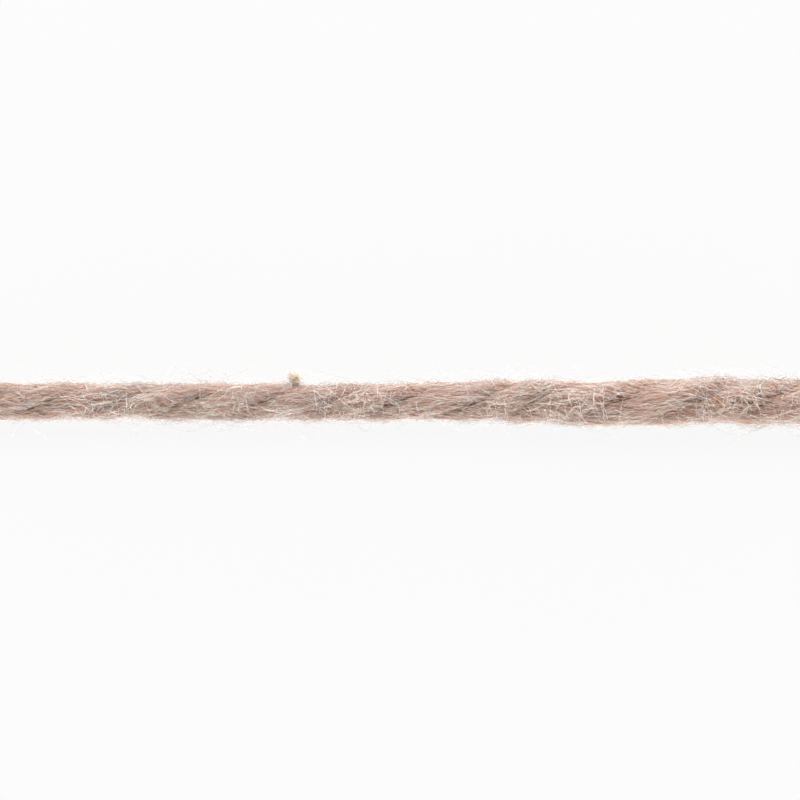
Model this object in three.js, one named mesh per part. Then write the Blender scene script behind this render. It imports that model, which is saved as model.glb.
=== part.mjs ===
// A cut length of three-ply knitting yarn, lying straight on a flat surface.
// Millimetres, +X along the strand, +Z up. The origin is on the surface, under the strand's middle.
// Three soft singles are twisted round each other into one strand, with the twist running to the
// left (an S twist), and they are pressed together, so the strand is one solid with three round
// lobes. A small knot of loose fibre, a nep, stands out of its side.

import * as THREE from "three";
import { mergeVertices } from "three/addons/utils/BufferGeometryUtils.js";

const plies = 3;
const plySpread = 0.36; // from the strand's axis to a ply's centre, as a share of the radius
const pressedFlat = 0.12; // how far the strand's own weight flattens its underside

const sectionSides = 30; // a multiple of the plies, so that a corner runs along each groove
const lengthSteps = 130;

// The strand's course. There is a row for each third of a turn of the plies, where the groove
// between two of them faces straight up: how far along that is, how far the strand lies to the
// side there, and how thick it is.
const course = [
  { along: -30.7, aside: -0.1, thick: 2.5 },
  { along: -26.3, aside: -0.1, thick: 2.5 },
  { along: -21.9, aside: -0.08, thick: 2.54 },
  { along: -17.6, aside: -0.1, thick: 2.42 },
  { along: -13.25, aside: -0.11, thick: 2.48 },
  { along: -8.6, aside: -0.14, thick: 2.5 },
  { along: -4.4, aside: -0.16, thick: 2.5 },
  { along: -0.1, aside: -0.13, thick: 2.56 },
  { along: 4.9, aside: -0.09, thick: 2.72 },
  { along: 8.3, aside: -0.13, thick: 2.92 },
  { along: 13.4, aside: -0.23, thick: 3.04 },
  { along: 18.6, aside: -0.05, thick: 3.16 },
  { along: 22.9, aside: -0.13, thick: 3.18 },
  { along: 27.4, aside: -0.2, thick: 3.14 },
  { along: 31.9, aside: -0.2, thick: 3.12 },
];
const startThird = 0.64; // where the strand is cut, counted in rows of the course
const endThird = 13.11;

const nep = { along: -6.6, turn: 8, height: 0.8, radius: 0.5 }; // turn: degrees up from the side

const yarnColour = 0xbaa295;

const courseCurve = new THREE.CatmullRomCurve3(
  course.map((row) => new THREE.Vector3(row.along, row.aside, row.thick)),
  false,
  "catmullrom",
  0.5,
);

// The strand at a number of rows along its course.
function strandAt(third) {
  const place = courseCurve.getPoint(third / (course.length - 1));
  return { along: place.x, aside: place.y, radius: place.z / 2 };
}

// How far the surface stands from the axis, as a share of the radius, for an angle counted from
// a groove: the outline of three equal circles, pushed together until they merge.
function lobeShare(fromGroove) {
  const sector = (2 * Math.PI) / plies;
  const fromCrown = THREE.MathUtils.euclideanModulo(fromGroove, sector) - sector / 2;
  const plyRadius = 1 - plySpread;
  const across = plySpread * Math.sin(fromCrown);
  return plySpread * Math.cos(fromCrown) + Math.sqrt(plyRadius ** 2 - across ** 2);
}

// How far the nep lifts the surface at a place along the strand and an angle round it.
function nepLift(along, angle, radius) {
  const turned = angle - THREE.MathUtils.degToRad(nep.turn);
  const round = Math.atan2(Math.sin(turned), Math.cos(turned)) * radius;
  const away = Math.hypot(along - nep.along, round) / nep.radius;
  return nep.height * Math.exp(-away * away);
}

// A point of the strand: third and fromGroove place it, and reach is 1 on the outside and 0 on
// the axis. Nothing goes below the surface that the strand lies on.
function strandPoint(third, fromGroove, reach) {
  const { along, aside, radius } = strandAt(third);
  const twist = (-third * 2 * Math.PI) / plies;
  const angle = fromGroove + twist + Math.PI / 2;
  const out = reach * (radius * lobeShare(fromGroove) + nepLift(along, angle, radius));
  const axisHeight = radius - pressedFlat;
  return new THREE.Vector3(
    along,
    aside + out * Math.cos(angle),
    Math.max(0, axisHeight + out * Math.sin(angle)),
  );
}

// A closed cylinder whose points are carried onto the strand, from one cut end to the other.
function strandGeometry() {
  const cylinder = new THREE.CylinderGeometry(1, 1, 1, sectionSides, lengthSteps);
  cylinder.deleteAttribute("normal");
  cylinder.deleteAttribute("uv");
  const geometry = mergeVertices(cylinder);
  const points = geometry.getAttribute("position");
  for (let i = 0; i < points.count; i += 1) {
    const third = THREE.MathUtils.lerp(startThird, endThird, points.getY(i) + 0.5);
    const fromGroove = Math.atan2(points.getX(i), points.getZ(i));
    const reach = Math.hypot(points.getX(i), points.getZ(i));
    const place = strandPoint(third, fromGroove, reach);
    points.setXYZ(i, place.x, place.y, place.z);
  }
  geometry.computeVertexNormals();
  return geometry;
}

// Soft wool-like fibre: matt all over.
function yarnMaterial() {
  return new THREE.MeshStandardMaterial({ color: yarnColour, roughness: 0.95, metalness: 0 });
}

function yarnStrand() {
  const strand = new THREE.Mesh(strandGeometry(), yarnMaterial());
  strand.name = "yarn_strand";
  return strand;
}

const group = new THREE.Group();
group.add(yarnStrand());

export default group;
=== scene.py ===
import bpy
import math
import numpy as np
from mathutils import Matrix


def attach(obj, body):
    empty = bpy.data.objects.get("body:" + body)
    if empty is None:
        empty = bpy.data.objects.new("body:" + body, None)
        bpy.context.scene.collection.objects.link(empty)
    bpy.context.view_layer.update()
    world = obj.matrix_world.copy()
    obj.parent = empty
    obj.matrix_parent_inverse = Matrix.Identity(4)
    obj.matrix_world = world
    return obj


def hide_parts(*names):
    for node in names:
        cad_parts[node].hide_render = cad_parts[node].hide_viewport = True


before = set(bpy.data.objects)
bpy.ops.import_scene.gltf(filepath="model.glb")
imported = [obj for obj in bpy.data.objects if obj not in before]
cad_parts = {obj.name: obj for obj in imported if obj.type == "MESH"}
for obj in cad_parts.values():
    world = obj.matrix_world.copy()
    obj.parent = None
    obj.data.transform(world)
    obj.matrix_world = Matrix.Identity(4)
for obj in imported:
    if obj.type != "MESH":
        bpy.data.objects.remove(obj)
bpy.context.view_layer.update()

mm = 0.001  # everything below is worked out in millimetres and turned to metres at the end
node = "yarn_strand"

# The strand's course, as it is modelled: a row for each third of a turn of the plies, where the
# groove between two of them faces straight up.
courseRows = [
    {"along": -30.7, "aside": -0.1, "thick": 2.5},
    {"along": -26.3, "aside": -0.1, "thick": 2.5},
    {"along": -21.9, "aside": -0.08, "thick": 2.54},
    {"along": -17.6, "aside": -0.1, "thick": 2.42},
    {"along": -13.25, "aside": -0.11, "thick": 2.48},
    {"along": -8.6, "aside": -0.14, "thick": 2.5},
    {"along": -4.4, "aside": -0.16, "thick": 2.5},
    {"along": -0.1, "aside": -0.13, "thick": 2.56},
    {"along": 4.9, "aside": -0.09, "thick": 2.72},
    {"along": 8.3, "aside": -0.13, "thick": 2.92},
    {"along": 13.4, "aside": -0.23, "thick": 3.04},
    {"along": 18.6, "aside": -0.05, "thick": 3.16},
    {"along": 22.9, "aside": -0.13, "thick": 3.18},
    {"along": 27.4, "aside": -0.2, "thick": 3.14},
    {"along": 31.9, "aside": -0.2, "thick": 3.12},
]
strand = {
    "startThird": 0.64,  # where it is cut, counted in rows
    "endThird": 13.11,
    "routePoints": 60,
    "plies": 3,
    "plySpread": 0.36,  # axis to a ply's centre, as a share of the radius
    "pressedFlat": 0.12,  # by its own weight, on the underside
    "drawnIn": 0.965,  # where the dense fibre ends, as a share of the solid; fuzz fills the rest
    "fibreTurn": 1.55,  # how fast fibres turn back round their own ply, against the plying
    "cornerPower": 16.0,  # how sharply a ply's round side meets its flat ones
    "leastDepth": 0.05,  # the least that counts, because a depth of 0 can't be divided by
    "bridged": 0.45,  # how far the skin that loose fibres lie on fills the grooves
}
thirdTurn = 2 * math.pi / strand["plies"]


def linearColour(hexColour):
    parts = [int(hexColour[i : i + 2], 16) / 255 for i in (1, 3, 5)]
    return tuple(c / 12.92 if c <= 0.04045 else ((c + 0.055) / 1.055) ** 2.4 for c in parts) + (1,)


def addNode(tree, kind, settings=None, values=None, links=None):
    added = tree.nodes.new(kind)
    for name, value in (settings or {}).items():
        setattr(added, name, value)
    for socket, value in (values or {}).items():
        added.inputs[socket].default_value = value
    for socket, source in (links or {}).items():
        tree.links.new(source, added.inputs[socket])
    return added


def newMaterial(name):
    material = bpy.data.materials.new(name)
    material.use_nodes = True
    material.node_tree.nodes.clear()
    return material, material.node_tree


# The camera comes first: straight above the strand, a long way off with a long lens, so that the
# view is 50 mm wide and hardly spreads.
camera = {
    "height": 400.0,  # above the strand's axis
    "overRow": 7.0,  # the row of the course under it
    "viewWide": 50.0,
    "sensor": 36.0,
    "clip": (0.01, 20),  # metres
}


def makeCamera():
    axisHeight = strandAt(np.array([camera["overRow"]]))[2][0]
    bpy.ops.object.camera_add(location=(0, 0, (axisHeight + camera["height"]) * mm))
    shot = bpy.context.object
    shot.name = "shotFromAbove"
    shot.data.sensor_width = camera["sensor"]
    shot.data.lens = camera["sensor"] * camera["height"] / camera["viewWide"]
    shot.data.clip_start, shot.data.clip_end = camera["clip"]
    bpy.context.scene.camera = shot
    bpy.context.scene.view_settings.view_transform = "Standard"
    print("made the camera")


# The rows as numbers, with one more past each end for the curve to head for.
def courseTable():
    rows = np.array([[r["along"], r["aside"], r["thick"]] for r in courseRows])
    return np.vstack([2 * rows[0] - rows[1], rows, 2 * rows[-1] - rows[-2]])


courseData = courseTable()


# The strand's centre line at a number of rows along its course: along, aside, height and radius.
def strandAt(third):
    row = np.clip(np.floor(third).astype(int), 0, len(courseRows) - 2)
    t = (third - row)[..., None]
    p0, p1, p2, p3 = (courseData[row + i] for i in range(4))
    slopeIn = (p2 - p0) / 2
    slopeOut = (p3 - p1) / 2
    place = (
        (2 * t**3 - 3 * t**2 + 1) * p1
        + (t**3 - 2 * t**2 + t) * slopeIn
        + (3 * t**2 - 2 * t**3) * p2
        + (t**3 - t**2) * slopeOut
    )
    radius = place[..., 2] / 2
    return place[..., 0], place[..., 1], radius - strand["pressedFlat"], radius


# The way back, from a place along the strand to a number of rows.
samplesEach = 100
thirdSamples = np.linspace(0, len(courseRows) - 1, samplesEach * (len(courseRows) - 1) + 1)
alongSamples = strandAt(thirdSamples)[0]
thirdLong = (alongSamples[-1] - alongSamples[0]) / (len(courseRows) - 1)


def thirdAt(along):
    return np.interp(along, alongSamples, thirdSamples)


def outward(angle):
    return np.stack([np.zeros_like(angle), np.cos(angle), np.sin(angle)], -1)


def unit(vectors):
    return vectors / np.maximum(np.linalg.norm(vectors, axis=-1, keepdims=True), 1e-9)


def smoothStep(low, high, x):
    t = np.clip((x - low) / (high - low), 0, 1)
    return t * t * (3 - 2 * t)


# How far a place in a single is from its own centre, as a share of the strand's radius. Depth is
# 1 on the outside, which is round. Where it meets its two neighbours it is pressed flat.
def singleSection(turn, depth):
    power = strand["cornerPower"]
    roundSide = 1 - strand["plySpread"]
    inverse = (roundSide * np.maximum(depth, strand["leastDepth"])) ** -power
    for side in (-1, 1):
        facing = np.cos(turn - side * (math.pi / 2 + thirdTurn / 2))
        flat = strand["plySpread"] * math.sin(thirdTurn / 2) / np.maximum(facing, 1e-3)
        inverse = inverse + flat**-power
    return inverse ** (-1 / power)


# Handspun unevenness of a single: gentle swellings along it and round it, as a share of its depth.
lumps = {
    "size": 0.028,
    # how many there are in a third of a turn, how many round the single, and where they start
    "waves": ((1.3, 1, 0.4), (2.1, -1, 2.2), (3.3, 2, 5.1), (4.9, -2, 3.7)),
    "plyShift": 2.3,  # how much further on they start in the next ply
}


def lumpy(third, ply, turn):
    total = 0
    for along, around, start in lumps["waves"]:
        shifted = start + lumps["plyShift"] * ply
        total = total + np.sin(2 * math.pi * along * third + around * turn + shifted)
    return 1 + lumps["size"] * total


# A point in ply number ply: turn is its angle round the single's own centre, counted from the
# side that faces out, and depth is 1 on the single's surface.
def pointInPly(third, ply, turn, depth):
    along, aside, height, radius = strandAt(third)
    crown = math.pi / 2 + thirdTurn * (ply + 0.5) - thirdTurn * third
    radius = radius * strand["drawnIn"]
    centre = np.stack([along, aside, height], -1)
    spread = (radius * strand["plySpread"])[..., None] * outward(crown)
    reach = radius * singleSection(turn, depth * lumpy(third, ply, turn))
    return centre + spread + reach[..., None] * outward(crown + turn)


# A point round the whole strand: angle counts from the +Y side, and lift is in millimetres above
# a skin that bridges the grooves a little.
def pointOnStrand(third, angle, lift, bridged=strand["bridged"]):
    along, aside, height, radius = strandAt(third)
    fromGroove = angle - math.pi / 2 + thirdTurn * third
    fromCrown = np.mod(fromGroove, thirdTurn) - thirdTurn / 2
    spread = strand["plySpread"]
    across = spread * np.sin(fromCrown)
    lobe = spread * np.cos(fromCrown) + np.sqrt((1 - spread) ** 2 - across**2)
    skin = radius * strand["drawnIn"] * (lobe + (1 - lobe) * bridged)
    return np.stack([along, aside, height], -1) + (skin + lift)[..., None] * outward(angle)


# The triangles of one closed tube of rings between two end points, with each corner's place on
# the tube: which ring it is on and how far round.
def tubeCorners(rings, around):
    ring, column = np.meshgrid(np.arange(rings - 1), np.arange(around), indexing="ij")
    ring, column = ring.ravel(), column.ravel()
    square = [(ring, column), (ring, column + 1), (ring + 1, column + 1), (ring + 1, column)]
    index = [1 + r * around + c % around for r, c in square]
    triangles, places = [], []
    for order in ((0, 1, 2), (0, 2, 3)):
        triangles.append(np.stack([index[i] for i in order], 1))
        places.append(np.stack([np.stack([square[i][0] + 1, square[i][1]], -1) for i in order], 1))
    column = np.arange(around)
    following = (column + 1) % around
    last = 1 + (rings - 1) * around
    startCap = [(0 * column, 0, 0.5), (1 + following, 1, 1), (1 + column, 1, 0)]
    endCap = [(last + column, rings, 0), (last + following, rings, 1),
              (0 * column + last + around, rings + 1, 0.5)]
    for cap in (startCap, endCap):  # each corner: its number, its ring and how far past its column
        triangles.append(np.stack([corner for corner, _, _ in cap], 1))
        places.append(np.stack([np.stack([0 * column + r, column + c], -1) for _, r, c in cap], 1))
    return np.concatenate(triangles), np.concatenate(places).astype(float)


bakeMargin = 0.06  # each tube has its own cell of the baking map, with this left free round it


# Joins tubes into one mesh. points is tubes x rings x around x 3, ends is tubes x 2 x 3, and
# tones gives each ring or point its place in the colour range. Where a pattern follows the
# fibre, runAt gives the map for it.
def joinTubes(name, points, ends, tones, runAt=None):
    tubes, rings, around = points.shape[:3]
    each = rings * around + 2
    vertices = np.concatenate([ends[:, :1], points.reshape(tubes, -1, 3), ends[:, 1:]], 1)
    triangles, places = tubeCorners(rings, around)
    allTriangles = (triangles[None] + each * np.arange(tubes)[:, None, None]).reshape(-1, 3)
    mesh = bpy.data.meshes.new(name)
    mesh.from_pydata(vertices.reshape(-1, 3) * mm, [], allTriangles)
    mesh.update()
    if tones.ndim == 2:
        tones = np.repeat(tones[..., None], around, axis=2)
    perVertex = np.concatenate([tones[:, 0, :1], tones.reshape(tubes, -1), tones[:, -1, :1]], 1)
    mesh.attributes.new("tone", "FLOAT", "POINT").data.foreach_set("value", perVertex.ravel())
    cells = math.ceil(math.sqrt(tubes))
    inCell = places[..., ::-1] / (around, rings + 1) * (1 - 2 * bakeMargin) + bakeMargin
    cell = np.stack([np.arange(tubes) % cells, np.arange(tubes) // cells], -1)
    baked = (cell[:, None, None] + inCell) / cells
    mesh.uv_layers.new(name="OFBake").uv.foreach_set("vector", baked.astype(np.float32).ravel())
    if runAt is not None:
        ring = np.clip(places[..., 0] - 1, 0, rings - 1).astype(int)
        run = np.stack(runAt(ring, places[..., 1]), -1)
        run = np.broadcast_to(run[None], (tubes,) + run.shape).astype(np.float32)
        mesh.uv_layers.new(name="fibreRun").uv.foreach_set("vector", run.ravel())
    mesh.polygons.foreach_set("use_smooth", np.ones(len(mesh.polygons), bool))
    mesh.update()
    piece = bpy.data.objects.new(name, mesh)
    bpy.context.scene.collection.objects.link(piece)
    print("made", name, "with", len(mesh.polygons), "triangles")
    return piece


fibreShape = {
    "sides": 3,
    "tipWide": 0.35,  # as a share of its width
    "taper": 6,  # how fast it widens from there
}


# Fibres along paths, pointed at both ends. thick is one width for each fibre, and tones has one
# tone for each fibre or one for each step.
def joinFibres(name, paths, thick, tones, rng):
    fibres, steps = paths.shape[:2]
    half = thick[:, None] / 2
    paths = paths.copy()
    paths[..., 2] = np.maximum(paths[..., 2], half)  # nothing goes below the floor
    run = unit(np.gradient(paths, axis=1))
    side = rng.normal(size=(fibres, 3))
    sides = np.zeros_like(paths)
    for i in range(steps):
        side = unit(side - (side * run[:, i]).sum(-1, keepdims=True) * run[:, i])
        sides[:, i] = side
    ups = np.cross(run, sides)
    share = np.linspace(0, 1, steps)
    taper = np.minimum(1, fibreShape["tipWide"] + fibreShape["taper"] * np.minimum(share, 1 - share))
    angles = np.arange(fibreShape["sides"])[:, None] * 2 * math.pi / fibreShape["sides"]
    around = sides[:, 1:-1, None] * np.cos(angles) + ups[:, 1:-1, None] * np.sin(angles)
    points = paths[:, 1:-1, None] + (half * taper)[:, 1:-1, None, None] * around
    points[..., 2] = np.maximum(points[..., 2], 0)
    ends = np.stack([paths[:, 0], paths[:, -1]], 1)
    tones = np.broadcast_to(np.clip(tones, 0, 1), (fibres, steps))
    return joinTubes(name, points, ends, tones[:, 1:-1])


evenSteps = (0.7548776662, 0.5698402910)  # of a sequence that fills a square without clumps


# Shares between 0 and 1 in two directions, as evenly spread as a spun fibre mass is.
def evenShares(count, rng):
    order = rng.permutation(count)
    across, along = ((order * step + rng.random()) % 1 for step in evenSteps)
    return across[:, None], along[:, None]


waveStarts = (0, 6.28)  # radians


# Waves along fibres, each with its own length and start.
def fibreWaves(t, cycles, count, rng):
    turns = 2 * math.pi * t * rng.uniform(*cycles, (count, 1))
    return np.sin(turns + rng.uniform(*waveStarts, (count, 1)))


# Headings along the yarn, either way, give or take a spread in radians.
def lengthwise(spread, count, rng):
    return rng.choice([0, math.pi], count) + rng.normal(0, spread, count)


# How loose fibres run: their even curl, their kinks and their length.
def looseRun(settings, count, rng):
    curl = rng.normal(0, settings["curl"], count)
    kinks = rng.uniform(*settings["kinks"], count)
    length = rng.uniform(*settings["length"], count)
    return curl, kinks, length


# Tops between two heights, with more of them low down.
def mostlyLow(heights, power, count, rng):
    return heights[0] + (heights[1] - heights[0]) * rng.random((count, 1)) ** power


# How far out fibres stand that start at a root below the surface and go to their top by a shape
# that is 0 at the root and 1 at the top.
def outFrom(root, top, shape):
    return -root + (root + top) * shape


wandering = {
    "sudden": 0.14,  # the share of a fibre's turns that are sudden
    "suddenSize": 3.2,
    "gentleSize": 0.6,
}


# Paths that wander over the strand: each starts at a place and an angle, heads off, and bends as
# its run says.
def wander(along, angle, heading, run, lift, rng, bridged=strand["bridged"]):
    curl, kinks, length = (values[:, None] for values in run)
    steps = lift.shape[1]
    bends = rng.normal(0, 1, lift.shape) * kinks
    sudden = rng.random(lift.shape) < wandering["sudden"]
    bends *= np.where(sudden, wandering["suddenSize"], wandering["gentleSize"])
    bends -= bends.mean(1, keepdims=True)
    turned = heading[:, None] + curl * (np.linspace(0, 1, steps) - 0.5) + np.cumsum(bends, 1)
    step = length / (steps - 1)
    gone = np.cumsum(np.cos(turned), 1) * step
    swept = np.cumsum(np.sin(turned), 1) * step
    alongAll = along[:, None] + (gone - gone[:, :1])
    third = thirdAt(alongAll)
    reach = strandAt(third)[3] + np.maximum(lift, 0)
    points = pointOnStrand(third, angle[:, None] - (swept - swept[:, :1]) / reach, lift, bridged)
    points[..., 0] = alongAll
    return points


# The shade of each place on a fibre: its own tone, made uneven by a pattern.
def paintShades(tree, pattern, contrast, shades):
    tone = addNode(tree, "ShaderNodeAttribute", {"attribute_name": "tone"})
    spread = addNode(tree, "ShaderNodeMath", {"operation": "MULTIPLY_ADD"},
                     {1: contrast, 2: -contrast / 2}, {0: pattern.outputs["Fac"]})
    shade = addNode(tree, "ShaderNodeMath", {"operation": "ADD", "use_clamp": True}, None,
                    {0: tone.outputs["Fac"], 1: spread.outputs[0]})
    ramp = addNode(tree, "ShaderNodeValToRGB", None, None, {"Fac": shade.outputs[0]})
    stops = ramp.color_ramp.elements
    while len(stops) < len(shades):
        stops.new(0.5)  # moved to its place below
    for i, colour in enumerate(shades):
        stops[i].position = i / (len(shades) - 1)
        stops[i].color = linearColour(colour)
    return ramp.outputs["Color"]


# What all fibre shares: it is matt, and light goes a little way into it.
def finishFibre(tree, look, sheen, links):
    shader = addNode(tree, "ShaderNodeBsdfPrincipled", None,
                     {"Roughness": look["roughness"], "Specular IOR Level": look["specular"],
                      "Sheen Weight": sheen, "Subsurface Weight": 1.0,
                      "Subsurface Radius": look["throughColour"],
                      "Subsurface Scale": look["through"]}, links)
    addNode(tree, "ShaderNodeOutputMaterial", None, None, {"Surface": shader.outputs["BSDF"]})


# The dense inside of a spun single: wool that was combed, drawn out and twisted, so it is matt,
# and fine lines run with the fibre. Its tone is painted darker and redder in the grooves, a
# painted shade for the light that has gone through more wool there. The fibres are 0.03 mm
# thick, which is too fine to show, so the lines are drawn 0.06 mm apart and 0.25 mm long.
woolLook = {
    "linesEachMm": (16.0, 4.0, 1.0),  # across the fibre and along it
    "lineDetail": 3.0,
    "lineRoughness": 0.6,
    "lineContrast": 0.6,
    "lineDeep": 0.05 * mm,
    "bump": 0.6,
    "roughness": 0.95,
    "specular": 0.1,
    "sheen": 0.1,
    "throughColour": (1.0, 0.95, 0.9),  # red light gets furthest
    "through": 0.15 * mm,
}


def spunWool(name, shades):
    material, tree = newMaterial(name)
    runMap = addNode(tree, "ShaderNodeUVMap", {"uv_map": "fibreRun"})
    stretched = addNode(tree, "ShaderNodeMapping", None, {"Scale": woolLook["linesEachMm"]},
                        {"Vector": runMap.outputs["UV"]})
    lines = addNode(tree, "ShaderNodeTexNoise", None,
                    {"Scale": 1.0, "Detail": woolLook["lineDetail"],
                     "Roughness": woolLook["lineRoughness"]},
                    {"Vector": stretched.outputs["Vector"]})
    colour = paintShades(tree, lines, woolLook["lineContrast"], shades)
    bump = addNode(tree, "ShaderNodeBump", None,
                   {"Strength": woolLook["bump"], "Distance": woolLook["lineDeep"]},
                   {"Height": lines.outputs["Fac"]})
    finishFibre(tree, woolLook, woolLook["sheen"],
                {"Base Color": colour, "Normal": bump.outputs["Normal"]})
    return material


# Single combed fibres, each of its own shade: translucent and matt. Where they stand apart from
# the rest they are painted paler, a painted light for the light that comes through them. A real
# one's shade changes over its scales, 0.01 mm long, which is too fine to show, so it is drawn in
# patches of 0.07 mm.
fibreLook = {
    "patchesEachMm": 14.0,
    "patchDetail": 1.0,
    "patchRoughness": 0.5,
    "patchContrast": 1.4,
    "roughness": 0.85,
    "specular": 0.15,
    "sheen": 0.12,
    "throughColour": (1.0, 1.0, 1.0),
    "through": 0.08 * mm,
}


def combedFibre(name, shades, sheen=fibreLook["sheen"]):
    material, tree = newMaterial(name)
    place = addNode(tree, "ShaderNodeTexCoord")
    patches = addNode(tree, "ShaderNodeTexNoise", None,
                      {"Scale": fibreLook["patchesEachMm"] / mm,
                       "Detail": fibreLook["patchDetail"],
                       "Roughness": fibreLook["patchRoughness"]},
                      {"Vector": place.outputs["Object"]})
    colour = paintShades(tree, patches, fibreLook["patchContrast"], shades)
    finishFibre(tree, fibreLook, sheen, {"Base Color": colour})
    return material


def dress(piece, material):
    piece.data.materials.append(material)
    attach(piece, "root")
    return piece


# The three singles: their dense bodies, under the fibres that cover them.
singles = {
    "seed": 11,
    "around": 48,
    "along": 262,
    "depth": 0.80,
    "ridges": (5, 8, 11, 14, 17, 20),  # how many there are round a single
    "ridgeHigh": 0.018,
    "ridgeDrift": 0.8,  # how far a ridge wanders, in radians of its own wave
    "driftWaves": (0.5, 2),  # radians for each third of a turn
    "driftStarts": (0, 6),
    "pulledIn": 0.07,  # how far their ends are behind the cut, in thirds of a turn
    "capRings": 4,
    "capInset": (0.2, 0.93),
    "capDomed": 0.04,
    "radius": 0.8,  # of one single, for the map that its lines follow
    "tone": 0.58,
    # painted shade: how much lighter the crown is painted than the grooves
    "paintedGrooveShade": 0.10,
    "grooveEdge": (1.75, 1.1),  # radians from its crown, where it gets darker
    "shades": ("#7a3f2b", "#a1705a", "#c6a28a"),
}


def makeSingles():
    rng = np.random.default_rng(singles["seed"])
    around, steps, caps = singles["around"], singles["along"], singles["capRings"]
    first = strand["startThird"] + singles["pulledIn"]
    last = strand["endThird"] - singles["pulledIn"]
    third = np.linspace(first, last, steps)
    third = np.concatenate([np.full(caps, first), third, np.full(caps, last)])
    cap = np.linspace(*singles["capInset"], caps)
    inset = np.concatenate([cap, np.ones(steps), cap[::-1]])
    turn = np.arange(around) * 2 * math.pi / around
    thirds, turns = np.meshgrid(third, turn, indexing="ij")
    run = turns - strand["fibreTurn"] * thirdTurn * thirds
    plies = []
    for ply in range(strand["plies"]):
        ridge = np.zeros_like(run)
        for ridges in singles["ridges"]:
            start = rng.uniform(0, 2 * math.pi)
            drift = rng.uniform(*singles["driftWaves"]) * thirds
            drift = drift + rng.uniform(*singles["driftStarts"])
            ridge += np.sin(ridges * run + (start + singles["ridgeDrift"] * np.sin(drift)))
        depth = singles["depth"] * inset[:, None] * (1 + singles["ridgeHigh"] * ridge)
        plies.append(pointInPly(thirds, ply, turns, depth))
    points = np.stack(plies)
    points[..., 2] = np.maximum(points[..., 2], 0)
    ends = np.stack([points[:, 0].mean(1), points[:, -1].mean(1)], 1)
    ends[..., 0] += np.array([-1, 1]) * singles["capDomed"]
    # Painted shade: the tone is painted darker towards the grooves, away from each crown.
    fromCrown = np.abs(np.arctan2(np.sin(turns), np.cos(turns)))
    tones = singles["tone"] + singles["paintedGrooveShade"] * smoothStep(*singles["grooveEdge"], fromCrown)
    tones = np.broadcast_to(tones, points.shape[:3])

    def runAt(ring, column):
        turned = column / around - strand["fibreTurn"] * third[ring] / strand["plies"]
        return turned * (2 * math.pi * singles["radius"]), strandAt(third[ring])[0]

    piece = dress(joinTubes("twistedSingles", points, ends, tones, runAt),
                  spunWool("spun wool, taupe", singles["shades"]))
    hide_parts(node)
    return piece


# Fibres on each single, side by side and nearly straight along the yarn, because the singles
# turn back against the plying. They lie dense within, and thin out to a soft edge.
cover = {
    "seed": 20,
    "inner": {
        "count": 950, "length": (0.7, 1.9), "thick": (0.018, 0.028),
        "depth": 0.785, "deeper": 0.04, "fade": 0.0, "tone": 0.45, "paler": 0.0,
    },
    "outer": {
        "count": 3000, "length": (0.6, 2.0), "thick": (0.013, 0.021),
        "depth": 0.805, "deeper": 0.05, "fade": 0.06, "tone": 0.38, "paler": 3.0,
    },
    "steps": 7,
    "unevenCut": 0.03,  # in thirds of a turn
    "farRound": 1.7,  # radians to each side of a single's crown
    "slopes": 0.25,
    "sway": 0.08,  # radians
    "swayWaves": (0.6, 1.8),  # in a fibre's length
    "crimp": 0.075,
    "tipsIn": 0.05,  # their tips lie deeper than their middles
    "bow": 0.7,
    "ripple": 0.025,
    "rippleWaves": (0.8, 1.8),
    "grooveDepth": 0.86,  # as far out as they stand in a groove, so that it stays open
    "grooveSides": (0.9, 1.5),  # radians from a single's crown
    "toneSpread": 0.08,
    "toneAlong": 0.10,
    # painted shade: fibres are painted darker towards the grooves, between these angles from the
    # crown
    "paintedShadeInGrooves": 0.22,
    "darkerSides": (1.2, 1.7),
    "shades": ("#89533c", "#a9846b", "#c9b19d", "#e9dfd1"),
}


def coverPaths(ply, layer, rng):
    count, steps = layer["count"], cover["steps"]
    t = np.linspace(0, 1, steps)[None]
    half = rng.uniform(*layer["length"], (count, 1)) / thirdLong / 2
    overhang = rng.normal(0, cover["unevenCut"], (count, 1))
    first, last = strand["startThird"] - overhang, strand["endThird"] + overhang
    acrossShare, alongShare = evenShares(count, rng)
    middle = np.clip(first + alongShare * (last - first), first + half, last - half)
    third = middle + (2 * t - 1) * half
    slope = strand["fibreTurn"] * thirdTurn * (1 + rng.normal(0, cover["slopes"], (count, 1)))
    sway = rng.normal(0, cover["sway"], (count, 1)) * fibreWaves(t, cover["swayWaves"], count, rng)
    turn = (2 * acrossShare - 1) * cover["farRound"] + slope * (third - middle) + sway
    turn += rng.normal(0, cover["crimp"], (count, steps))
    outside = layer["deeper"] * rng.random((count, 1))
    outside = outside + layer["fade"] * rng.exponential(1, (count, 1))
    bow = np.sin(math.pi * t) ** cover["bow"]
    depth = layer["depth"] - cover["tipsIn"] + (outside + cover["tipsIn"]) * bow
    depth += cover["ripple"] * fibreWaves(t, cover["rippleWaves"], count, rng)
    fromCrown = np.abs(turn)
    inGroove = smoothStep(*cover["grooveSides"], fromCrown)
    depth -= np.maximum(depth - cover["grooveDepth"], 0) * inGroove
    thick = rng.uniform(*layer["thick"], count)
    # Painted light: fibres that stand further out are painted paler, for the light that comes
    # through them.
    tones = layer["tone"] + layer["paler"] * outside
    tones = tones + rng.normal(0, cover["toneSpread"], (count, 1))
    tones = tones + rng.normal(0, cover["toneAlong"], (count, steps))
    # Painted shade: fibres are painted darker where they turn into a groove.
    tones -= cover["paintedShadeInGrooves"] * smoothStep(*cover["darkerSides"], fromCrown)
    return pointInPly(third, ply, turn, depth), thick, tones


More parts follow.
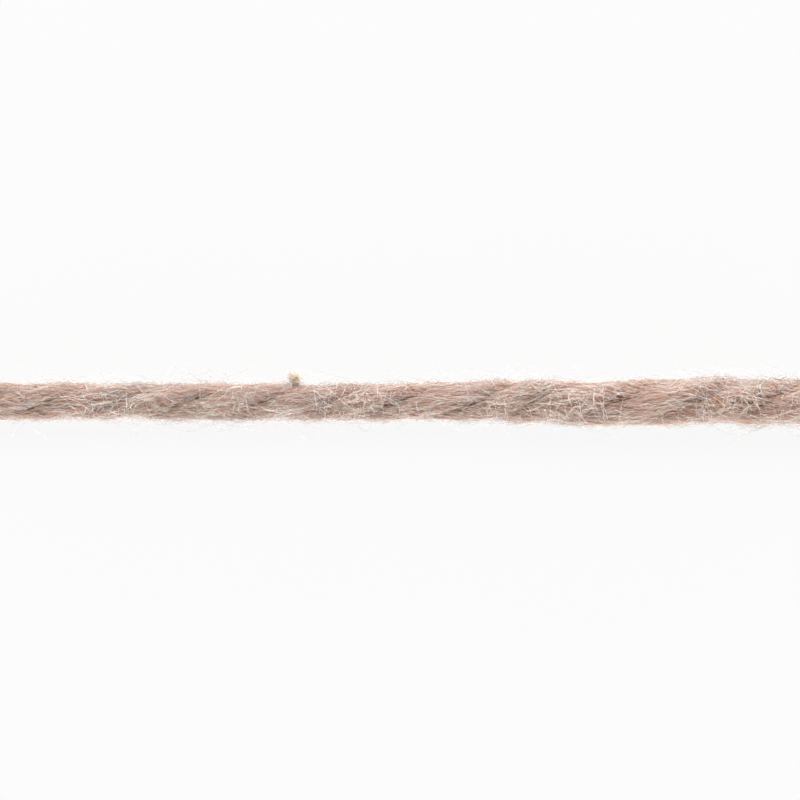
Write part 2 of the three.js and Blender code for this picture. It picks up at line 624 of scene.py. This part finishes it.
def makeCover(ply, name, material):
    rng = np.random.default_rng(cover["seed"] + ply)
    layers = [coverPaths(ply, cover[layer], rng) for layer in ("inner", "outer")]
    paths, thick, tones = (np.concatenate(part) for part in zip(*layers))
    return dress(joinFibres(name, paths, thick, tones, rng), material)


# Where a groove of the strand faces, as an angle round it.
def grooveAngle(which, along):
    return math.pi / 2 + thirdTurn * (which - thirdAt(along))


# Fibres that have come loose from one single and lie in patches across the groove to the next.
# There are more where a groove faces sideways, and most on the side where the yarn is fluffier.
bridges = {
    "seed": 81,
    "clumps": 120,
    "each": 24,
    "tries": 3,  # places that are tried for each clump
    "steps": 7,
    "spread": 27.0,  # either way from the strand's middle
    "within": 27.3,
    "sideways": 0.25,  # how much a sideways groove draws them, and the fluffier side
    "fluffier": 0.15,
    "clumpLong": 0.5,
    "clumpWide": 0.17,  # radians
    "headings": 0.22,
    "curl": 0.4,
    "kinks": (0.03, 0.15),
    "length": (0.9, 2.4),
    "lift": (-0.10, 0.02),
    "ripple": 0.03,
    "rippleWaves": (2, 8),
    "tipsIn": 0.08,
    "bow": 0.6,
    "bridged": 0.5,
    "thick": (0.016, 0.026),
    "tone": (0.55, 0.1),  # mean and spread
    "toneAlong": 0.05,
    # painted shade: redder than the cover, for the shade of the grooves these fibres lie in
    "shades": ("#8a4f38", "#ab735a", "#c4967e", "#d8b59f"),
}


def makeBridges():
    rng = np.random.default_rng(bridges["seed"])
    clumps, each, steps = bridges["clumps"], bridges["each"], bridges["steps"]
    count, tries = clumps * each, clumps * bridges["tries"]
    places = rng.uniform(-bridges["spread"], bridges["spread"], tries)
    which = rng.integers(0, strand["plies"], tries)
    sideways = np.cos(grooveAngle(which, places))
    drawn = bridges["sideways"] * np.abs(sideways) + bridges["fluffier"] * sideways
    chosen = np.argsort(rng.random(tries) - drawn)[:clumps]
    along = np.repeat(places[chosen], each) + rng.normal(0, bridges["clumpLong"], count)
    along = np.clip(along, -bridges["within"], bridges["within"])
    angle = grooveAngle(np.repeat(which[chosen], each), along)
    angle = angle + rng.normal(0, bridges["clumpWide"], count)
    heading = lengthwise(bridges["headings"], count, rng)
    run = looseRun(bridges, count, rng)
    t = np.linspace(0, 1, steps)[None]
    lift = rng.uniform(*bridges["lift"], (count, 1))
    lift = lift + bridges["ripple"] * np.sin(rng.uniform(*bridges["rippleWaves"], (count, 1)) * t)
    lift -= bridges["tipsIn"] * (1 - np.sin(math.pi * t) ** bridges["bow"])
    paths = wander(along, angle, heading, run, lift, rng, bridges["bridged"])
    thick = rng.uniform(*bridges["thick"], count)
    tones = rng.normal(*bridges["tone"], (count, 1))
    tones = tones + rng.normal(0, bridges["toneAlong"], (count, steps))
    return dress(joinFibres("bridgingFibres", paths, thick, tones, rng),
                 combedFibre("combed fibre, taupe in the shade of the grooves", bridges["shades"]))


# Stray fibres that cross the plies at all angles. They gather in patches, and many of a patch
# come out at one of a few spots, where they branch like roots.
strays = {
    "seed": 31,
    "count": 700,
    "steps": 13,
    "spread": 27.4,  # either way from the strand's middle
    "within": 27.3,
    # turn is in degrees up from the +Y side
    "patches": [
        {"along": -18.2, "turn": 95, "wide": 1.3, "share": 1.2},
        {"along": -10.0, "turn": 80, "wide": 0.8, "share": 0.6},
        {"along": -3.5, "turn": 85, "wide": 1.9, "share": 2.0},
        {"along": 6.0, "turn": 85, "wide": 1.2, "share": 0.6},
        {"along": 10.8, "turn": 85, "wide": 1.6, "share": 2.2},
        {"along": 20.5, "turn": 90, "wide": 2.4, "share": 2.6},
        {"along": -22.0, "turn": -60, "wide": 2.0, "share": 1.2},
        {"along": -6.0, "turn": 200, "wide": 2.0, "share": 1.4},
        {"along": 4.0, "turn": -40, "wide": 2.4, "share": 1.4},
        {"along": 15.0, "turn": 190, "wide": 2.2, "share": 1.6},
        {"along": 25.0, "turn": -20, "wide": 1.6, "share": 1.0},
    ],
    "loose": 2.2,  # the share that is in no patch
    "patchTurn": 36,  # degrees
    "rootsEach": 4,
    "rootsWide": 0.8,  # how far a patch's roots spread, as a share of its width
    "rootsTurn": 22,
    "rooted": 0.3,
    "rootLong": 0.1,
    "rootWide": 0.06,  # radians
    "crossing": 0.45,  # the share that runs straight across the yarn, give or take
    "crossingSpread": 0.55,
    "curl": 0.4,
    "kinks": (0.08, 0.26),
    "length": (0.5, 2.3),
    "root": 0.02,
    "rise": (0.02, 0.12),
    "bow": 0.5,
    "ripple": 0.03,
    "rippleWaves": (4, 12),
    "thick": (0.015, 0.023),
    "tone": (0.55, 0.25),
    "sheen": 0.5,
    # painted light: strays are painted paler than the yarn, for the light they catch on top of it
    "shades": ("#e4cbb8", "#f0dac9", "#fbe9dc"),
    # the clearest ones on top: where each runs, along and to the side
    "clearest": [
        [(-20.9, 0.05), (-20.1, -0.75)],
        [(-19.3, -0.05), (-19.2, -1.25)],
        [(-17.05, 0.7), (-17.1, -0.75)],
        [(-18.6, 0.7), (-17.8, 0.9), (-17.0, 0.75)],
        [(-12.55, 0.8), (-12.4, -0.05)],
        [(-10.05, -0.8), (-9.95, -0.2), (-9.5, -0.25)],
        [(-9.6, 0.1), (-9.5, -0.95)],
        [(-5.45, 0.9), (-5.25, -0.05), (-5.05, -0.55), (-5.4, -1.05)],
        [(-5.3, 0.3), (-5.1, -0.5), (-4.6, -1.0)],
        [(-4.95, 1.0), (-3.25, -0.3), (-2.5, -0.7)],
        [(-1.8, 0.9), (-2.95, -0.2)],
        [(-1.45, 1.0), (-1.45, -0.1)],
        [(-1.4, 0.4), (-0.55, 0.0), (-0.2, -0.2), (0.0, -0.7), (-0.25, -1.2)],
        [(1.0, -0.05), (1.3, -0.95)],
        [(3.45, 0.2), (4.5, 0.15), (5.5, 0.2)],
        [(6.55, 0.1), (6.55, -0.95)],
        [(7.6, -0.4), (8.05, -0.7), (9.0, -0.2)],
        [(9.25, -0.05), (9.3, -1.1)],
        [(9.5, -0.15), (10.3, -0.15), (11.0, 0.1), (11.2, 0.0), (11.2, -0.45), (11.4, -1.0),
         (11.5, -1.4)],
        [(12.6, 0.8), (12.55, 0.55), (12.35, 0.4)],
        [(12.7, 0.9), (12.75, 0.5), (12.85, 0.25)],
        [(12.1, 0.35), (12.4, 0.0), (12.55, -0.35), (12.6, -1.25)],
        [(12.45, 0.05), (12.5, -0.3), (12.8, -0.85), (12.75, -1.2)],
        [(12.5, -0.1), (12.85, -0.7), (13.0, -1.45)],
        [(13.4, 0.25), (13.5, 0.35), (14.15, 0.35)],
        [(13.55, 0.95), (13.9, 0.5)],
        [(13.3, -0.5), (13.7, -0.75), (14.2, -1.4)],
        [(16.4, 0.4), (17.2, 0.45), (17.8, 0.7)],
        [(18.3, 1.0), (17.95, -0.05)],
        [(17.45, -0.8), (17.55, -0.5), (18.2, -0.25)],
        [(20.2, 0.1), (20.2, -0.7)],
        [(20.5, 0.55), (20.45, -0.2)],
        [(21.1, 0.45), (21.9, -0.5), (21.8, -1.1)],
        [(22.5, 0.95), (22.55, 0.5), (22.0, 0.1)],
        [(22.4, -0.9), (23.05, -1.2), (23.9, -0.9), (24.55, -0.6)],
    ],
    "clearLift": 0.10,
    "clearTips": 0.2,  # how high their tips are, as a share of that
    "clearBend": 0.02,
    "clearThick": 0.023,
    # painted light: the clearest ones are painted palest
    "clearTone": 0.8,
    "furthestAside": 0.98,  # as a share of the strand's half width
}


# The angle round the strand of a place to the side of its middle, on the upper half.
def angleOver(aside, reach):
    furthest = strays["furthestAside"]
    return np.arccos(np.clip(aside / reach, -furthest, furthest))


# A path over the top of the strand through places given as along and aside.
def overTheTop(places, steps, lift, rng):
    places = np.array(places)
    gone = np.concatenate([[0], np.cumsum(np.linalg.norm(np.diff(places, axis=0), axis=1))])
    share = np.linspace(0, gone[-1], steps)
    bend = np.cumsum(rng.normal(0, strays["clearBend"], (2, steps)), axis=1)
    line = []
    for i in range(2):
        values = np.interp(share, gone, places[:, i])
        values[1:-1] = np.convolve(values, [0.25, 0.5, 0.25], "valid")  # rounds its corners
        line.append(values + bend[i])
    third = thirdAt(line[0])
    centre, axisHeight, radius = strandAt(third)[1:]
    angle = angleOver(line[1] - centre, radius)
    for _ in range(4):  # the skin is further out than the radius, so the angle settles in rounds
        skin = pointOnStrand(third, angle, np.full(steps, lift))
        reach = np.hypot(skin[:, 1] - centre, skin[:, 2] - axisHeight)
        angle = angleOver(line[1] - centre, reach)
    bow = np.sin(math.pi * np.linspace(0, 1, steps)) ** strays["bow"]
    tips = strays["clearTips"]
    return pointOnStrand(third, angle, lift * (tips + (1 - tips) * bow))


def makeStrays():
    rng = np.random.default_rng(strays["seed"])
    count, steps, patches = strays["count"], strays["steps"], strays["patches"]
    weights = np.array([p["share"] for p in patches] + [strays["loose"]])
    chosen = rng.choice(len(weights), count, p=weights / weights.sum())
    along = rng.uniform(-strays["spread"], strays["spread"], count)
    angle = rng.uniform(0, 2 * math.pi, count)
    for i, patch in enumerate(patches):
        here = chosen == i
        along[here] = rng.normal(patch["along"], patch["wide"], here.sum())
        angle[here] = np.radians(rng.normal(patch["turn"], strays["patchTurn"], here.sum()))
        roots = strays["rootsEach"]
        rootAlong = rng.normal(patch["along"], patch["wide"] * strays["rootsWide"], roots)
        rootAngle = np.radians(rng.normal(patch["turn"], strays["rootsTurn"], roots))
        rooted = np.flatnonzero(here & (rng.random(count) < strays["rooted"]))
        root = rng.integers(0, roots, len(rooted))
        along[rooted] = rootAlong[root] + rng.normal(0, strays["rootLong"], len(rooted))
        angle[rooted] = rootAngle[root] + rng.normal(0, strays["rootWide"], len(rooted))
    along = np.clip(along, -strays["within"], strays["within"])
    heading = rng.uniform(0, 2 * math.pi, count)
    crossing = rng.random(count) < strays["crossing"]
    straight = rng.choice([0.5, 1.5], crossing.sum()) * math.pi
    heading[crossing] = straight + rng.normal(0, strays["crossingSpread"], crossing.sum())
    run = looseRun(strays, count, rng)
    t = np.linspace(0, 1, steps)[None]
    rise = rng.uniform(*strays["rise"], (count, 1))
    lift = outFrom(strays["root"], rise, np.sin(math.pi * t) ** strays["bow"])
    lift += strays["ripple"] * np.sin(rng.uniform(*strays["rippleWaves"], (count, 1)) * t)
    paths = wander(along, angle, heading, run, lift, rng)
    clear = [overTheTop(places, steps, strays["clearLift"], rng) for places in strays["clearest"]]
    paths = np.concatenate([paths, np.stack(clear)])
    thick = rng.uniform(*strays["thick"], len(paths))
    thick[count:] = strays["clearThick"]
    tones = rng.normal(*strays["tone"], (len(paths), 1))
    tones[count:] = strays["clearTone"]
    return dress(joinFibres("strayFibres", paths, thick, tones, rng),
                 combedFibre("stray fibre, pale taupe", strays["shades"], strays["sheen"]))


# The halo: long, very fine fibres that stand off the strand in loops and loose ends.
halo = {
    "seed": 51,
    "count": 1000,
    "wisps": 130,
    "steps": 13,
    "spread": 26.3,  # either way from the strand's middle
    "wispLong": 0.35,
    "wispWide": 0.25,  # radians
    "fluffier": 0.3,  # how much more of it is on the +Y side
    "headings": 0.6,
    "curl": 0.9,
    "kinks": (0.02, 0.12),
    "length": (0.8, 5.0),
    "root": 0.03,
    "lift": (0.06, 1.5),
    "mostlyLow": 2.8,
    "loops": 0.45,  # the share that comes back to the yarn
    "loopsLower": 0.6,
    "loopBow": 1.3,
    "endBow": 1.5,
    "thick": (0.011, 0.020),
    "tone": (0.5, 0.25),
    "sheen": 0.4,
    # painted shade: halo fibres are painted a darker grey than the yarn, for how fine fibre looks
    # against the bright table
    "shades": ("#8f8074", "#ae9f94", "#cfc4ba"),
}


def makeHalo():
    rng = np.random.default_rng(halo["seed"])
    count, wisps = halo["count"], halo["wisps"]
    wisp = rng.integers(0, wisps, count)
    along = rng.uniform(-halo["spread"], halo["spread"], wisps)[wisp]
    along = along + rng.normal(0, halo["wispLong"], count)
    angle = rng.uniform(0, 2 * math.pi, wisps)
    angle = (angle - halo["fluffier"] * np.sin(angle))[wisp] + rng.normal(0, halo["wispWide"], count)
    heading = lengthwise(halo["headings"], count, rng)
    run = looseRun(halo, count, rng)
    t = np.linspace(0, 1, halo["steps"])[None]
    top = mostlyLow(halo["lift"], halo["mostlyLow"], count, rng)
    loop = rng.random((count, 1)) < halo["loops"]
    top = np.where(loop, top * halo["loopsLower"], top)
    shape = np.where(loop, np.sin(math.pi * t) ** halo["loopBow"], t ** halo["endBow"])
    paths = wander(along, angle, heading, run, outFrom(halo["root"], top, shape), rng)
    thick = rng.uniform(*halo["thick"], count)
    tones = rng.normal(*halo["tone"], (count, 1))
    return dress(joinFibres("haloFibres", paths, thick, tones, rng),
                 combedFibre("halo fibre, pale", halo["shades"], halo["sheen"]))


# The nep: a little knot of curled-up fibre, paler than the yarn and flecked with brown, that
# stands off the strand's side on a loose foot.
nep = {
    "seed": 61,
    "along": -6.62,
    "turn": 8,  # degrees up from the +Y side
    "steps": 20,
    "knotLift": 0.44,
    "knotRadii": (0.60, 0.60, 0.50),
    "knotFibres": 62,
    "knotSpread": 0.45,  # where they start, as a share of its radii
    "stride": 0.22,
    "keepsOn": 0.7,  # how much a fibre keeps its way, strays from it and is drawn back in
    "straysOff": 0.8,
    "drawnBack": 0.9,
    "footFibres": 100,
    "footAlong": -6.5,
    "footWide": 0.42,
    "footTurn": 0.25,  # radians
    "footRoot": 0.1,
    "footBow": 0.8,
    "footPull": (0.2, 1.0),  # how far they lean towards the knot
    "footTop": (0.4, 1.5),  # how high they end, as a share of the knot's lift
    "footLower": 0.35,  # how fast that falls away from the foot's middle
    "sway": (0.06, 0.05),  # millimetres along, radians round
    "swayWaves": (4, 15),
    "thick": (0.008, 0.013),
    "tone": (0.8, 0.12),
    "leastTone": 0.45,
    "flecks": 22,
    "fleckFrom": 2,
    "fleckSteps": 3,
    "fleckTone": 0.05,
    "fleckThick": 0.028,
    "sheen": 0.2,
    "shades": ("#8f5630", "#dbab7d", "#e4bf9b", "#efd5ba"),
}


def knotPaths(turn, rng):
    count, steps = nep["knotFibres"], nep["steps"]
    middle = [np.array([value]) for value in (nep["along"], turn, nep["knotLift"])]
    centre = pointOnStrand(thirdAt(middle[0]), middle[1], middle[2], 0.0)
    place = rng.normal(0, nep["knotSpread"], (count, 3))
    way = rng.normal(0, 1, (count, 3))
    knot = np.zeros((count, steps, 3))
    for i in range(steps):
        stray = nep["straysOff"] * rng.normal(0, 1, (count, 3))
        way = nep["keepsOn"] * way + stray - nep["drawnBack"] * place
        place = place + nep["stride"] * unit(way)
        knot[:, i] = centre + place * np.array(nep["knotRadii"])
    return knot


def footPaths(turn, rng):
    count = nep["footFibres"]
    rise = np.linspace(0, 1, nep["steps"])[None] ** nep["footBow"]
    along = nep["footAlong"] + rng.normal(0, nep["footWide"], (count, 1))
    angle = turn + rng.normal(0, nep["footTurn"], (count, 1))
    pull = smoothStep(0.0, 1.0, rise) * rng.uniform(*nep["footPull"], (count, 1))
    waves = np.sin(rng.uniform(*nep["swayWaves"], (2, count, 1)) * rise)
    footAlong = along + (nep["along"] - along) * pull + nep["sway"][0] * waves[0]
    footAngle = angle + (turn - angle) * pull + nep["sway"][1] * waves[1]
    away = np.abs(along - nep["footAlong"]) / nep["footWide"]
    top = nep["knotLift"] * rng.uniform(*nep["footTop"], (count, 1))
    top = top * np.exp(-nep["footLower"] * away)
    return pointOnStrand(thirdAt(footAlong), footAngle, outFrom(nep["footRoot"], top, rise), 0.0)


def makeNep():
    rng = np.random.default_rng(nep["seed"])
    turn = math.radians(nep["turn"])
    paths = np.concatenate([knotPaths(turn, rng), footPaths(turn, rng)])
    thick = rng.uniform(*nep["thick"], len(paths))
    tones = np.clip(rng.normal(*nep["tone"], (len(paths), 1)), nep["leastTone"], 1)
    tones = np.repeat(tones, nep["steps"], axis=1)
    for fibre in rng.choice(nep["knotFibres"], nep["flecks"], replace=False):
        start = rng.integers(nep["fleckFrom"], nep["steps"] - 2 * nep["fleckSteps"])
        tones[fibre, start : start + nep["fleckSteps"]] = nep["fleckTone"]
        thick[fibre] = nep["fleckThick"]
    return dress(joinFibres("nepTangle", paths, thick, tones, rng),
                 combedFibre("tangled fibre, light tan", nep["shades"], nep["sheen"]))


# The cut ends: the tips of the fibres that fill each single, cut nearly square and spreading a
# little, with a few that were pulled out longer.
cutEnds = {
    "seed": 71,
    "count": 150,  # for each single at each end
    "longer": 9,
    "steps": 8,
    "behind": (0.15, 0.3),  # where they start, in thirds of a turn before the cut
    "unevenCut": 0.018,
    "longerBy": (0.05, 0.3),
    "turned": 0.5,
    "fills": 0.84,  # as a share of a single's depth
    "spreads": 0.12,
    "fansOut": (0.3, 2.2),
    "thick": (0.026, 0.050),
    "tone": (0.6, 0.15),
    "tipPaler": 0.2,
}


def makeCutEnds(material):
    rng = np.random.default_rng(cutEnds["seed"])
    count, longer = cutEnds["count"], cutEnds["longer"]
    t = np.linspace(0, 1, cutEnds["steps"])[None]
    allPaths = []
    for end, way in ((strand["startThird"], -1), (strand["endThird"], 1)):
        for ply in range(strand["plies"]):
            behind = rng.uniform(*cutEnds["behind"], (count, 1))
            ahead = rng.normal(0.0, cutEnds["unevenCut"], (count, 1))
            ahead[:longer] += rng.uniform(*cutEnds["longerBy"], (longer, 1))
            third = end + way * outFrom(behind, ahead, t)
            turn = rng.uniform(-math.pi, math.pi, (count, 1))
            turn = turn + rng.normal(0, cutEnds["turned"], (count, 1)) * t
            depth = np.sqrt(rng.random((count, 1))) * cutEnds["fills"]
            depth = depth * (1 + cutEnds["spreads"] * t**2)
            depth += np.maximum(ahead, 0) * rng.uniform(*cutEnds["fansOut"], (count, 1)) * t**2
            allPaths.append(pointInPly(third, ply, turn, depth))
    paths = np.concatenate(allPaths)
    thick = rng.uniform(*cutEnds["thick"], len(paths))
    tones = rng.normal(*cutEnds["tone"], (len(paths), 1)) + cutEnds["tipPaler"] * t
    return dress(joinFibres("cutEndTips", paths, thick, tones, rng), material)


# Short fuzz that softens the outline: some all round, and more on the side where the yarn is
# fluffier. Its tone is painted by how far out it stands, as painted light and shade: darker and
# redder close in, palest a little way out, and darker and greyer further out, where it stands
# against the bright table.
fuzz = {
    "seed": 41,
    "allRound": 8000,
    "onOneSide": 5000,
    "side": (15, 50),  # degrees up from the +Y side, and how far it spreads
    "steps": 6,
    "spread": 27.6,  # either way from the strand's middle
    "headings": 0.5,
    "curl": 0.8,
    "kinks": (0.05, 0.25),
    "length": (0.3, 1.2),
    "root": 0.11,
    "lift": (-0.06, 0.30),
    "mostlyLow": 2.0,
    "ends": 0.5,  # the share that doesn't come back to the yarn
    "endBow": 1.2,
    "bridged": (0.0, 0.2),
    "thick": (0.012, 0.019),
    "tone": 0.35,
    "paintedLightByLift": 3.0,
    "toneSpread": 0.12,
    "sheen": 0.2,
    "shades": ("#b47a62", "#d0ad99", "#b99f90", "#8a7165"),
}


def fuzzAt(name, angle, material, rng):
    count = len(angle)
    along = rng.uniform(-fuzz["spread"], fuzz["spread"], count)
    heading = lengthwise(fuzz["headings"], count, rng)
    run = looseRun(fuzz, count, rng)
    t = np.linspace(0, 1, fuzz["steps"])[None]
    top = mostlyLow(fuzz["lift"], fuzz["mostlyLow"], count, rng)
    ends = rng.random((count, 1)) < fuzz["ends"]
    shape = np.where(ends, t ** fuzz["endBow"], np.sin(math.pi * t))
    bridged = rng.uniform(*fuzz["bridged"], (count, 1))
    paths = wander(along, angle, heading, run, outFrom(fuzz["root"], top, shape), rng, bridged)
    thick = rng.uniform(*fuzz["thick"], count)
    # Painted light and shade: the tone follows how far out the fuzz stands.
    tones = fuzz["tone"] + fuzz["paintedLightByLift"] * top + rng.normal(0, fuzz["toneSpread"], (count, 1))
    return dress(joinFibres(name, paths, thick, tones, rng), material)


def makeFuzz():
    material = combedFibre("fuzz, pale taupe", fuzz["shades"], fuzz["sheen"])
    rng = np.random.default_rng(fuzz["seed"])
    allRound = rng.uniform(0, 2 * math.pi, fuzz["allRound"])
    surface = fuzzAt("surfaceFuzz", allRound, material, rng)
    oneSide = np.radians(rng.normal(*fuzz["side"], fuzz["onOneSide"]))
    return [surface, fuzzAt("sideFuzz", oneSide, material, rng)]


# The floor is a light table, which glows evenly, so the strand throws hardly any shadow. Round it
# is a light tent, cool, bright low down and dim overhead, with a softbox behind and a weaker one
# in front, both a touch warmer than the tent.
lighting = {
    "floorWide": 3.0,  # metres, as all sizes here
    "floorShade": "#404040",
    "floorGlow": 0.912,
    "tentShade": "#f4fcff",
    "tentLow": 12.4,
    "tentTop": 0.016,
    "tentFalloff": 30.0,
    "lampShade": "#fffbf8",
    "softboxes": [
        {"name": "softboxBehind", "power": 7.8, "size": 0.6, "place": (0.0, 0.56, 0.46)},
        {"name": "softboxInFront", "power": 1.2, "size": 0.4, "place": (0.0, -0.56, 0.26)},
    ],
}


# Cast sheet that light comes through from below, which leaves it white and without shadows.
def opalAcrylic(name):
    material, tree = newMaterial(name)
    shader = addNode(tree, "ShaderNodeBsdfPrincipled", None,
                     {"Base Color": linearColour(lighting["floorShade"]), "Roughness": 1.0,
                      "Specular IOR Level": 0.0, "Emission Color": linearColour("#ffffff"),
                      "Emission Strength": lighting["floorGlow"]})
    addNode(tree, "ShaderNodeOutputMaterial", None, None, {"Surface": shader.outputs["BSDF"]})
    return material


def makeFloor():
    bpy.ops.mesh.primitive_plane_add(size=lighting["floorWide"])
    floor = bpy.context.object
    floor.name = "lightTable"
    floor.data.materials.append(opalAcrylic("opal acrylic, lit from below"))


# The tent's glow falls off with height, as a power of 1 less the height squared.
def makeTent():
    world = bpy.data.worlds.new("light tent")
    bpy.context.scene.world = world
    world.use_nodes = True
    tree = world.node_tree
    tree.nodes.clear()
    direction = addNode(tree, "ShaderNodeTexCoord")
    height = addNode(tree, "ShaderNodeSeparateXYZ", None, None,
                     {"Vector": direction.outputs["Generated"]})
    squared = addNode(tree, "ShaderNodeMath", {"operation": "POWER"}, {1: 2.0},
                      {0: height.outputs["Z"]})
    low = addNode(tree, "ShaderNodeMath", {"operation": "SUBTRACT", "use_clamp": True}, {0: 1.0},
                  {1: squared.outputs[0]})
    band = addNode(tree, "ShaderNodeMath", {"operation": "POWER"}, {1: lighting["tentFalloff"]},
                   {0: low.outputs[0]})
    glow = addNode(tree, "ShaderNodeMath", {"operation": "MULTIPLY_ADD"},
                   {1: lighting["tentLow"] - lighting["tentTop"], 2: lighting["tentTop"]},
                   {0: band.outputs[0]})
    background = addNode(tree, "ShaderNodeBackground", None,
                         {"Color": linearColour(lighting["tentShade"])},
                         {"Strength": glow.outputs[0]})
    addNode(tree, "ShaderNodeOutputWorld", None, None,
            {"Surface": background.outputs["Background"]})


def makeSoftboxes():
    for box in lighting["softboxes"]:
        bpy.ops.object.light_add(type="AREA", location=box["place"])
        lamp = bpy.context.object
        lamp.name = box["name"]
        lamp.data.energy = box["power"]
        lamp.data.size = box["size"]
        lamp.data.color = linearColour(lighting["lampShade"])[:3]
        lamp.rotation_euler = (-math.atan2(box["place"][1], box["place"][2]), 0, 0)
        lamp.visible_camera = False


makeCamera()
bpy.ops.object.select_all(action="DESELECT")
core = makeSingles()
taupeFibre = combedFibre("combed fibre, taupe", cover["shades"])
pieces = [makeCover(ply, name, taupeFibre) for ply, name in
          enumerate(("firstSingleFibres", "secondSingleFibres", "thirdSingleFibres"))]
pieces += [makeBridges(), makeStrays(), makeHalo(), makeNep(), makeCutEnds(taupeFibre)]
pieces += makeFuzz()

makeFloor()
makeTent()
makeSoftboxes()
print("made the floor and the lights")
